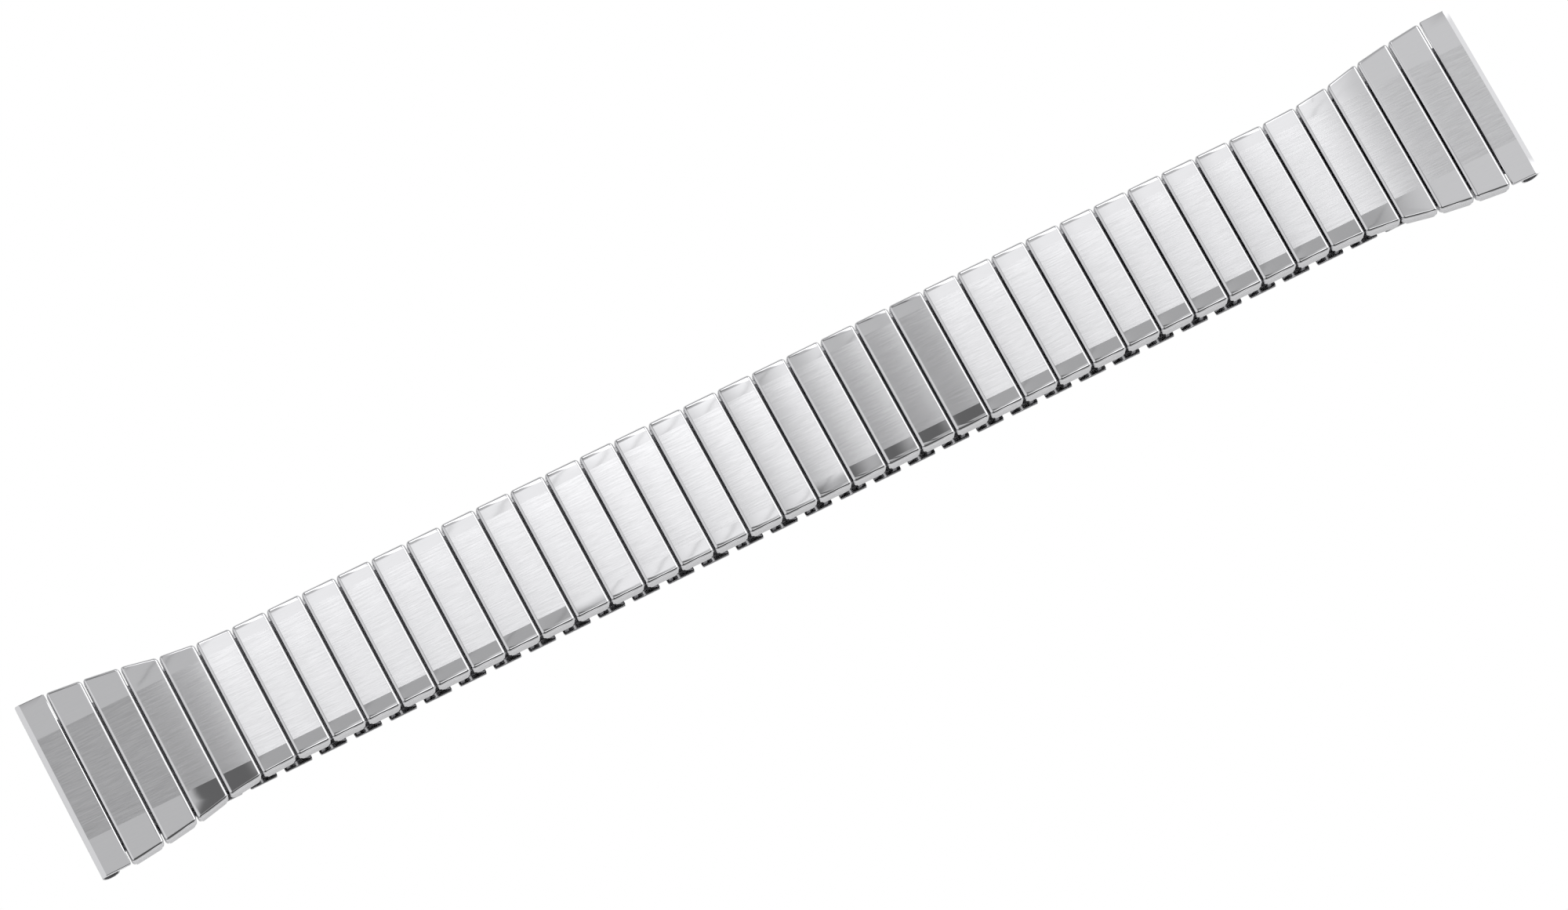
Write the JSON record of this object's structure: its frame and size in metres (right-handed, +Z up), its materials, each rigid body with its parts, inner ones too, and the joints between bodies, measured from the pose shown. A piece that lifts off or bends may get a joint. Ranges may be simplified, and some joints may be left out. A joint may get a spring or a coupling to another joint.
{
  "type": "expansion watch band",
  "caption": "Flat sprung steel watch band of staggered sleeve links under brushed caps, flared to a spring-bar tube at each end; it stretches and curls.",
  "frame": {"origin": "middle of the closed band, on the surface its under side lies on", "axes": "+X along the band, +Y across it, +Z up to the polished caps"},
  "size_m": [0.1626, 0.02, 0.003],
  "materials": {
    "link_steel": "caps brushed along the band with polished side ends, inner pieces bright",
    "end_frame_steel": "bright rolled sheet"
  },
  "bodies": {
    "centre": {"link_20": "link_steel", "link_21": "link_steel"},
    "link_22": {"link_22": "link_steel"},
    "under_link_21": {"under_link_21": "link_steel"},
    "link_23": {"link_23": "link_steel"},
    "link_24": {"link_24": "link_steel"},
    "link_25": {"link_25": "link_steel"},
    "under_link_24": {"under_link_24": "link_steel"},
    "link_26": {"link_26": "link_steel"},
    "link_27": {"link_27": "link_steel"},
    "under_link_26": {"under_link_26": "link_steel"},
    "link_28": {"link_28": "link_steel"},
    "link_29": {"link_29": "link_steel"},
    "link_30": {"link_30": "link_steel"},
    "under_link_29": {"under_link_29": "link_steel"},
    "link_31": {"link_31": "link_steel"},
    "link_32": {"link_32": "link_steel"},
    "under_link_31": {"under_link_31": "link_steel"},
    "link_33": {"link_33": "link_steel"},
    "link_34": {"link_34": "link_steel"},
    "link_35": {"link_35": "link_steel"},
    "under_link_34": {"under_link_34": "link_steel"},
    "link_36": {"link_36": "link_steel"},
    "link_37": {"link_37": "link_steel"},
    "under_link_36": {"under_link_36": "link_steel"},
    "link_38": {"link_38": "link_steel"},
    "link_39": {"link_39": "link_steel"},
    "link_40": {"link_40": "link_steel"},
    "under_link_39": {"under_link_39": "link_steel"},
    "end_right": {"end_link_right": "link_steel", "end_frame_right": "end_frame_steel"},
    "link_19": {"link_19": "link_steel"},
    "under_link_19": {"under_link_19": "link_steel"},
    "link_18": {"link_18": "link_steel"},
    "link_17": {"link_17": "link_steel"},
    "link_16": {"link_16": "link_steel"},
    "under_link_16": {"under_link_16": "link_steel"},
    "link_15": {"link_15": "link_steel"},
    "link_14": {"link_14": "link_steel"},
    "under_link_14": {"under_link_14": "link_steel"},
    "link_13": {"link_13": "link_steel"},
    "link_12": {"link_12": "link_steel"},
    "link_11": {"link_11": "link_steel"},
    "under_link_11": {"under_link_11": "link_steel"},
    "link_10": {"link_10": "link_steel"},
    "link_09": {"link_09": "link_steel"},
    "under_link_09": {"under_link_09": "link_steel"},
    "link_08": {"link_08": "link_steel"},
    "link_07": {"link_07": "link_steel"},
    "link_06": {"link_06": "link_steel"},
    "under_link_06": {"under_link_06": "link_steel"},
    "link_05": {"link_05": "link_steel"},
    "link_04": {"link_04": "link_steel"},
    "under_link_04": {"under_link_04": "link_steel"},
    "link_03": {"link_03": "link_steel"},
    "link_02": {"link_02": "link_steel"},
    "link_01": {"link_01": "link_steel"},
    "under_link_01": {"under_link_01": "link_steel"},
    "end_left": {"end_link_left": "link_steel", "end_frame_left": "end_frame_steel"}
  },
  "joints": [
    {"name": "stretch_21", "type": "slide", "parent": "centre", "child": "under_link_21", "axis": [1, 0, 0], "range_m": [0, 0.0015], "stiffness_N_per_m": 3000},
    {"name": "bend_21", "type": "hinge", "parent": "under_link_21", "child": "link_22", "pos_m": [0.0049, 0, 0.0017], "axis": [0, 1, 0], "range_deg": [0, 18]},
    {"name": "stretch_22", "type": "slide", "parent": "link_22", "child": "link_23", "axis": [1, 0, 0], "range_m": [0, 0.0015], "stiffness_N_per_m": 3000},
    {"name": "stretch_23", "type": "slide", "parent": "link_23", "child": "link_24", "axis": [1, 0, 0], "range_m": [0, 0.0015], "stiffness_N_per_m": 3000},
    {"name": "stretch_24", "type": "slide", "parent": "link_24", "child": "under_link_24", "axis": [1, 0, 0], "range_m": [0, 0.0015], "stiffness_N_per_m": 3000},
    {"name": "bend_24", "type": "hinge", "parent": "under_link_24", "child": "link_25", "pos_m": [0.0166, 0, 0.0017], "axis": [0, 1, 0], "range_deg": [0, 18]},
    {"name": "stretch_25", "type": "slide", "parent": "link_25", "child": "link_26", "axis": [1, 0, 0], "range_m": [0, 0.0015], "stiffness_N_per_m": 3000},
    {"name": "stretch_26", "type": "slide", "parent": "link_26", "child": "under_link_26", "axis": [1, 0, 0], "range_m": [0, 0.0015], "stiffness_N_per_m": 3000},
    {"name": "bend_26", "type": "hinge", "parent": "under_link_26", "child": "link_27", "pos_m": [0.0244, 0, 0.0017], "axis": [0, 1, 0], "range_deg": [0, 18]},
    {"name": "stretch_27", "type": "slide", "parent": "link_27", "child": "link_28", "axis": [1, 0, 0], "range_m": [0, 0.0015], "stiffness_N_per_m": 3000},
    {"name": "stretch_28", "type": "slide", "parent": "link_28", "child": "link_29", "axis": [1, 0, 0], "range_m": [0, 0.0015], "stiffness_N_per_m": 3000},
    {"name": "stretch_29", "type": "slide", "parent": "link_29", "child": "under_link_29", "axis": [1, 0, 0], "range_m": [0, 0.0015], "stiffness_N_per_m": 3000},
    {"name": "bend_29", "type": "hinge", "parent": "under_link_29", "child": "link_30", "pos_m": [0.0361, 0, 0.0017], "axis": [0, 1, 0], "range_deg": [0, 18]},
    {"name": "stretch_30", "type": "slide", "parent": "link_30", "child": "link_31", "axis": [1, 0, 0], "range_m": [0, 0.0015], "stiffness_N_per_m": 3000},
    {"name": "stretch_31", "type": "slide", "parent": "link_31", "child": "under_link_31", "axis": [1, 0, 0], "range_m": [0, 0.0015], "stiffness_N_per_m": 3000},
    {"name": "bend_31", "type": "hinge", "parent": "under_link_31", "child": "link_32", "pos_m": [0.0439, 0, 0.0017], "axis": [0, 1, 0], "range_deg": [0, 18]},
    {"name": "stretch_32", "type": "slide", "parent": "link_32", "child": "link_33", "axis": [1, 0, 0], "range_m": [0, 0.0015], "stiffness_N_per_m": 3000},
    {"name": "stretch_33", "type": "slide", "parent": "link_33", "child": "link_34", "axis": [1, 0, 0], "range_m": [0, 0.0015], "stiffness_N_per_m": 3000},
    {"name": "stretch_34", "type": "slide", "parent": "link_34", "child": "under_link_34", "axis": [1, 0, 0], "range_m": [0, 0.0015], "stiffness_N_per_m": 3000},
    {"name": "bend_34", "type": "hinge", "parent": "under_link_34", "child": "link_35", "pos_m": [0.0556, 0, 0.0017], "axis": [0, 1, 0], "range_deg": [0, 18]},
    {"name": "stretch_35", "type": "slide", "parent": "link_35", "child": "link_36", "axis": [1, 0, 0], "range_m": [0, 0.0015], "stiffness_N_per_m": 3000},
    {"name": "stretch_36", "type": "slide", "parent": "link_36", "child": "under_link_36", "axis": [1, 0, 0], "range_m": [0, 0.0015], "stiffness_N_per_m": 3000},
    {"name": "bend_36", "type": "hinge", "parent": "under_link_36", "child": "link_37", "pos_m": [0.0634, 0, 0.0017], "axis": [0, 1, 0], "range_deg": [0, 18]},
    {"name": "stretch_37", "type": "slide", "parent": "link_37", "child": "link_38", "axis": [1, 0, 0], "range_m": [0, 0.0015], "stiffness_N_per_m": 3000},
    {"name": "stretch_38", "type": "slide", "parent": "link_38", "child": "link_39", "axis": [1, 0, 0], "range_m": [0, 0.0015], "stiffness_N_per_m": 3000},
    {"name": "stretch_39", "type": "slide", "parent": "link_39", "child": "under_link_39", "axis": [1, 0, 0], "range_m": [0, 0.0015], "stiffness_N_per_m": 3000},
    {"name": "bend_39", "type": "hinge", "parent": "under_link_39", "child": "link_40", "pos_m": [0.0751, 0, 0.0017], "axis": [0, 1, 0], "range_deg": [0, 18]},
    {"name": "stretch_40", "type": "slide", "parent": "link_40", "child": "end_right", "axis": [1, 0, 0], "range_m": [0, 0.0015], "stiffness_N_per_m": 3000},
    {"name": "stretch_19", "type": "slide", "parent": "centre", "child": "under_link_19", "axis": [-1, 0, 0], "range_m": [0, 0.0015], "stiffness_N_per_m": 3000},
    {"name": "bend_19", "type": "hinge", "parent": "under_link_19", "child": "link_19", "pos_m": [-0.0049, 0, 0.0017], "axis": [0, -1, 0], "range_deg": [0, 18]},
    {"name": "stretch_18", "type": "slide", "parent": "link_19", "child": "link_18", "axis": [-1, 0, 0], "range_m": [0, 0.0015], "stiffness_N_per_m": 3000},
    {"name": "stretch_17", "type": "slide", "parent": "link_18", "child": "link_17", "axis": [-1, 0, 0], "range_m": [0, 0.0015], "stiffness_N_per_m": 3000},
    {"name": "stretch_16", "type": "slide", "parent": "link_17", "child": "under_link_16", "axis": [-1, 0, 0], "range_m": [0, 0.0015], "stiffness_N_per_m": 3000},
    {"name": "bend_16", "type": "hinge", "parent": "under_link_16", "child": "link_16", "pos_m": [-0.0166, 0, 0.0017], "axis": [0, -1, 0], "range_deg": [0, 18]},
    {"name": "stretch_15", "type": "slide", "parent": "link_16", "child": "link_15", "axis": [-1, 0, 0], "range_m": [0, 0.0015], "stiffness_N_per_m": 3000},
    {"name": "stretch_14", "type": "slide", "parent": "link_15", "child": "under_link_14", "axis": [-1, 0, 0], "range_m": [0, 0.0015], "stiffness_N_per_m": 3000},
    {"name": "bend_14", "type": "hinge", "parent": "under_link_14", "child": "link_14", "pos_m": [-0.0244, 0, 0.0017], "axis": [0, -1, 0], "range_deg": [0, 18]},
    {"name": "stretch_13", "type": "slide", "parent": "link_14", "child": "link_13", "axis": [-1, 0, 0], "range_m": [0, 0.0015], "stiffness_N_per_m": 3000},
    {"name": "stretch_12", "type": "slide", "parent": "link_13", "child": "link_12", "axis": [-1, 0, 0], "range_m": [0, 0.0015], "stiffness_N_per_m": 3000},
    {"name": "stretch_11", "type": "slide", "parent": "link_12", "child": "under_link_11", "axis": [-1, 0, 0], "range_m": [0, 0.0015], "stiffness_N_per_m": 3000},
    {"name": "bend_11", "type": "hinge", "parent": "under_link_11", "child": "link_11", "pos_m": [-0.0361, 0, 0.0017], "axis": [0, -1, 0], "range_deg": [0, 18]},
    {"name": "stretch_10", "type": "slide", "parent": "link_11", "child": "link_10", "axis": [-1, 0, 0], "range_m": [0, 0.0015], "stiffness_N_per_m": 3000},
    {"name": "stretch_09", "type": "slide", "parent": "link_10", "child": "under_link_09", "axis": [-1, 0, 0], "range_m": [0, 0.0015], "stiffness_N_per_m": 3000},
    {"name": "bend_09", "type": "hinge", "parent": "under_link_09", "child": "link_09", "pos_m": [-0.0439, 0, 0.0017], "axis": [0, -1, 0], "range_deg": [0, 18]},
    {"name": "stretch_08", "type": "slide", "parent": "link_09", "child": "link_08", "axis": [-1, 0, 0], "range_m": [0, 0.0015], "stiffness_N_per_m": 3000},
    {"name": "stretch_07", "type": "slide", "parent": "link_08", "child": "link_07", "axis": [-1, 0, 0], "range_m": [0, 0.0015], "stiffness_N_per_m": 3000},
    {"name": "stretch_06", "type": "slide", "parent": "link_07", "child": "under_link_06", "axis": [-1, 0, 0], "range_m": [0, 0.0015], "stiffness_N_per_m": 3000},
    {"name": "bend_06", "type": "hinge", "parent": "under_link_06", "child": "link_06", "pos_m": [-0.0556, 0, 0.0017], "axis": [0, -1, 0], "range_deg": [0, 18]},
    {"name": "stretch_05", "type": "slide", "parent": "link_06", "child": "link_05", "axis": [-1, 0, 0], "range_m": [0, 0.0015], "stiffness_N_per_m": 3000},
    {"name": "stretch_04", "type": "slide", "parent": "link_05", "child": "under_link_04", "axis": [-1, 0, 0], "range_m": [0, 0.0015], "stiffness_N_per_m": 3000},
    {"name": "bend_04", "type": "hinge", "parent": "under_link_04", "child": "link_04", "pos_m": [-0.0634, 0, 0.0017], "axis": [0, -1, 0], "range_deg": [0, 18]},
    {"name": "stretch_03", "type": "slide", "parent": "link_04", "child": "link_03", "axis": [-1, 0, 0], "range_m": [0, 0.0015], "stiffness_N_per_m": 3000},
    {"name": "stretch_02", "type": "slide", "parent": "link_03", "child": "link_02", "axis": [-1, 0, 0], "range_m": [0, 0.0015], "stiffness_N_per_m": 3000},
    {"name": "stretch_01", "type": "slide", "parent": "link_02", "child": "under_link_01", "axis": [-1, 0, 0], "range_m": [0, 0.0015], "stiffness_N_per_m": 3000},
    {"name": "bend_01", "type": "hinge", "parent": "under_link_01", "child": "link_01", "pos_m": [-0.0751, 0, 0.0017], "axis": [0, -1, 0], "range_deg": [0, 18]},
    {"name": "stretch_00", "type": "slide", "parent": "link_01", "child": "end_left", "axis": [-1, 0, 0], "range_m": [0, 0.0015], "stiffness_N_per_m": 3000}
  ],
  "couplings": [
    {"joint": "stretch_22", "follows": "stretch_21", "ratio": 1},
    {"joint": "stretch_23", "follows": "stretch_21", "ratio": 1},
    {"joint": "stretch_24", "follows": "stretch_21", "ratio": 1},
    {"joint": "bend_24", "follows": "bend_21", "ratio": 1},
    {"joint": "stretch_25", "follows": "stretch_21", "ratio": 1},
    {"joint": "stretch_26", "follows": "stretch_21", "ratio": 1},
    {"joint": "bend_26", "follows": "bend_21", "ratio": 1},
    {"joint": "stretch_27", "follows": "stretch_21", "ratio": 1},
    {"joint": "stretch_28", "follows": "stretch_21", "ratio": 1},
    {"joint": "stretch_29", "follows": "stretch_21", "ratio": 1},
    {"joint": "bend_29", "follows": "bend_21", "ratio": 1},
    {"joint": "stretch_30", "follows": "stretch_21", "ratio": 1},
    {"joint": "stretch_31", "follows": "stretch_21", "ratio": 1},
    {"joint": "bend_31", "follows": "bend_21", "ratio": 1},
    {"joint": "stretch_32", "follows": "stretch_21", "ratio": 1},
    {"joint": "stretch_33", "follows": "stretch_21", "ratio": 1},
    {"joint": "stretch_34", "follows": "stretch_21", "ratio": 1},
    {"joint": "bend_34", "follows": "bend_21", "ratio": 1},
    {"joint": "stretch_35", "follows": "stretch_21", "ratio": 1},
    {"joint": "stretch_36", "follows": "stretch_21", "ratio": 1},
    {"joint": "bend_36", "follows": "bend_21", "ratio": 1},
    {"joint": "stretch_37", "follows": "stretch_21", "ratio": 1},
    {"joint": "stretch_38", "follows": "stretch_21", "ratio": 1},
    {"joint": "stretch_39", "follows": "stretch_21", "ratio": 1},
    {"joint": "bend_39", "follows": "bend_21", "ratio": 1},
    {"joint": "stretch_40", "follows": "stretch_21", "ratio": 1},
    {"joint": "stretch_19", "follows": "stretch_21", "ratio": 1},
    {"joint": "bend_19", "follows": "bend_21", "ratio": 1},
    {"joint": "stretch_18", "follows": "stretch_21", "ratio": 1},
    {"joint": "stretch_17", "follows": "stretch_21", "ratio": 1},
    {"joint": "stretch_16", "follows": "stretch_21", "ratio": 1},
    {"joint": "bend_16", "follows": "bend_21", "ratio": 1},
    {"joint": "stretch_15", "follows": "stretch_21", "ratio": 1},
    {"joint": "stretch_14", "follows": "stretch_21", "ratio": 1},
    {"joint": "bend_14", "follows": "bend_21", "ratio": 1},
    {"joint": "stretch_13", "follows": "stretch_21", "ratio": 1},
    {"joint": "stretch_12", "follows": "stretch_21", "ratio": 1},
    {"joint": "stretch_11", "follows": "stretch_21", "ratio": 1},
    {"joint": "bend_11", "follows": "bend_21", "ratio": 1},
    {"joint": "stretch_10", "follows": "stretch_21", "ratio": 1},
    {"joint": "stretch_09", "follows": "stretch_21", "ratio": 1},
    {"joint": "bend_09", "follows": "bend_21", "ratio": 1},
    {"joint": "stretch_08", "follows": "stretch_21", "ratio": 1},
    {"joint": "stretch_07", "follows": "stretch_21", "ratio": 1},
    {"joint": "stretch_06", "follows": "stretch_21", "ratio": 1},
    {"joint": "bend_06", "follows": "bend_21", "ratio": 1},
    {"joint": "stretch_05", "follows": "stretch_21", "ratio": 1},
    {"joint": "stretch_04", "follows": "stretch_21", "ratio": 1},
    {"joint": "bend_04", "follows": "bend_21", "ratio": 1},
    {"joint": "stretch_03", "follows": "stretch_21", "ratio": 1},
    {"joint": "stretch_02", "follows": "stretch_21", "ratio": 1},
    {"joint": "stretch_01", "follows": "stretch_21", "ratio": 1},
    {"joint": "bend_01", "follows": "bend_21", "ratio": 1},
    {"joint": "stretch_00", "follows": "stretch_21", "ratio": 1}
  ]
}
